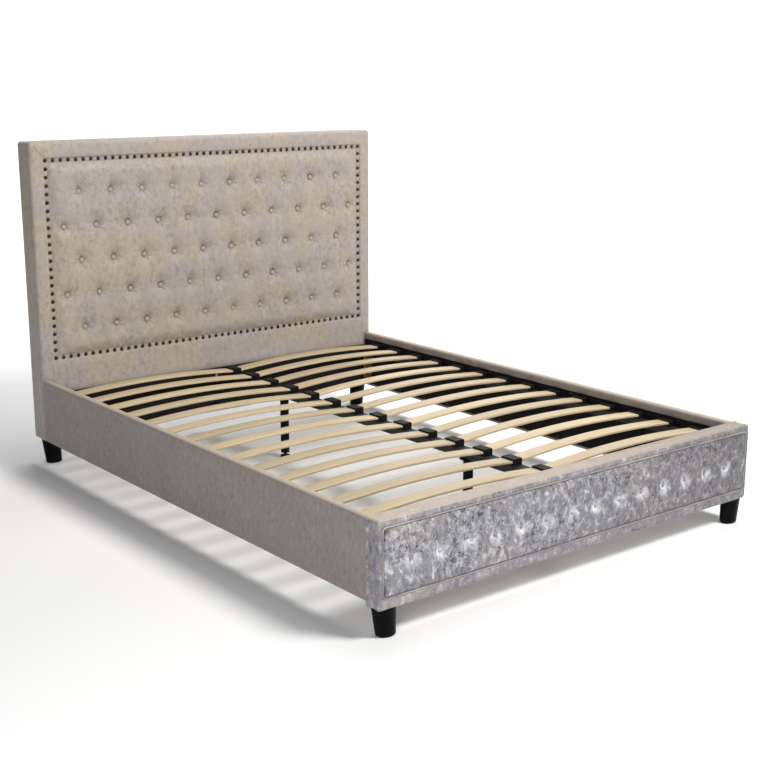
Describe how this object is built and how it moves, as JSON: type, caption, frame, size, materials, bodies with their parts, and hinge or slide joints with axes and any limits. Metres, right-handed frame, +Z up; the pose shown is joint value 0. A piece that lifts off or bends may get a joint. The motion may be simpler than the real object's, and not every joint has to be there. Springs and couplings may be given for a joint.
{
  "type": "upholstered headboard bed",
  "caption": "Velvet bed with a button-tufted, nail-trimmed headboard, low padded footboard and rails, sprung slats in two columns on a centre beam with legs.",
  "frame": {"origin": "on the floor under the middle of the whole bed", "axes": "+Z up, +Y towards the headboard, +X across the bed to the right of someone facing the headboard"},
  "size_m": [1.6, 2.196, 1.25],
  "materials": {
    "timber": "sawn pine",
    "fibreboard": "smooth hardboard",
    "velvet": "crushed velvet, champagne",
    "padded_velvet": "crushed velvet over foam, champagne",
    "crushed_velvet": "strongly crushed velvet, silver",
    "button_velvet": "velvet over a dome",
    "piping_velvet": "velvet over cord",
    "rail_velvet": "crushed velvet, taupe",
    "lining_cloth": "black non-woven cloth",
    "lined_board": "board in black cloth",
    "ledge_wood": "black painted batten",
    "birch": "sealed birch plywood",
    "holder_plastic": "moulded, fine texture",
    "leg_plastic": "moulded, satin",
    "glide_plastic": "moulded, satin",
    "foot_plastic": "moulded, semi-gloss black",
    "black_steel": "black powder coat",
    "yellow_zinc": "yellow passivated zinc",
    "antique_nails": "antique bronze, rubbed"
  },
  "bodies": {
    "bed": {"beam_hangers": "black_steel", "centre_beam": "black_steel", "centre_legs": "leg_plastic", "centre_slat_holders": "holder_plastic", "corner_brackets": "yellow_zinc", "corner_feet": "foot_plastic", "footboard_border": "velvet", "footboard_buttons": "button_velvet", "footboard_core": "timber", "footboard_lining": "lining_cloth", "footboard_piping": "piping_velvet", "footboard_tufted_panel": "crushed_velvet", "frame_bolts": "yellow_zinc", "head_cross_board": "lined_board", "headboard_back_cloth": "lining_cloth", "headboard_border": "velvet", "headboard_buttons": "button_velvet", "headboard_face_board": "fibreboard", "headboard_frame": "timber", "headboard_nails": "antique_nails", "headboard_tufted_panel": "padded_velvet", "left_rail_board": "timber", "left_rail_cover": "rail_velvet", "left_rail_lining": "lining_cloth", "left_slat_ledge": "ledge_wood", "right_rail_board": "timber", "right_rail_cover": "rail_velvet", "right_rail_lining": "lining_cloth", "right_slat_ledge": "ledge_wood", "side_slat_holders": "holder_plastic", "slat_left_01": "birch", "slat_left_02": "birch", "slat_left_03": "birch", "slat_left_04": "birch", "slat_left_05": "birch", "slat_left_06": "birch", "slat_left_07": "birch", "slat_left_08": "birch", "slat_left_09": "birch", "slat_left_10": "birch", "slat_left_11": "birch", "slat_left_12": "birch", "slat_left_13": "birch", "slat_left_14": "birch", "slat_right_01": "birch", "slat_right_02": "birch", "slat_right_03": "birch", "slat_right_04": "birch", "slat_right_05": "birch", "slat_right_06": "birch", "slat_right_07": "birch", "slat_right_08": "birch", "slat_right_09": "birch", "slat_right_10": "birch", "slat_right_11": "birch", "slat_right_12": "birch", "slat_right_13": "birch", "slat_right_14": "birch"},
    "head_glide": {"head_levelling_glide": "glide_plastic"},
    "foot_glide": {"foot_levelling_glide": "glide_plastic"}
  },
  "joints": [
    {"name": "head_glide_extend", "type": "slide", "parent": "bed", "child": "head_glide", "axis": [0, 0, -1], "range_m": [-0.005, 0.01]},
    {"name": "foot_glide_extend", "type": "slide", "parent": "bed", "child": "foot_glide", "axis": [0, 0, -1], "range_m": [-0.005, 0.01]}
  ]
}
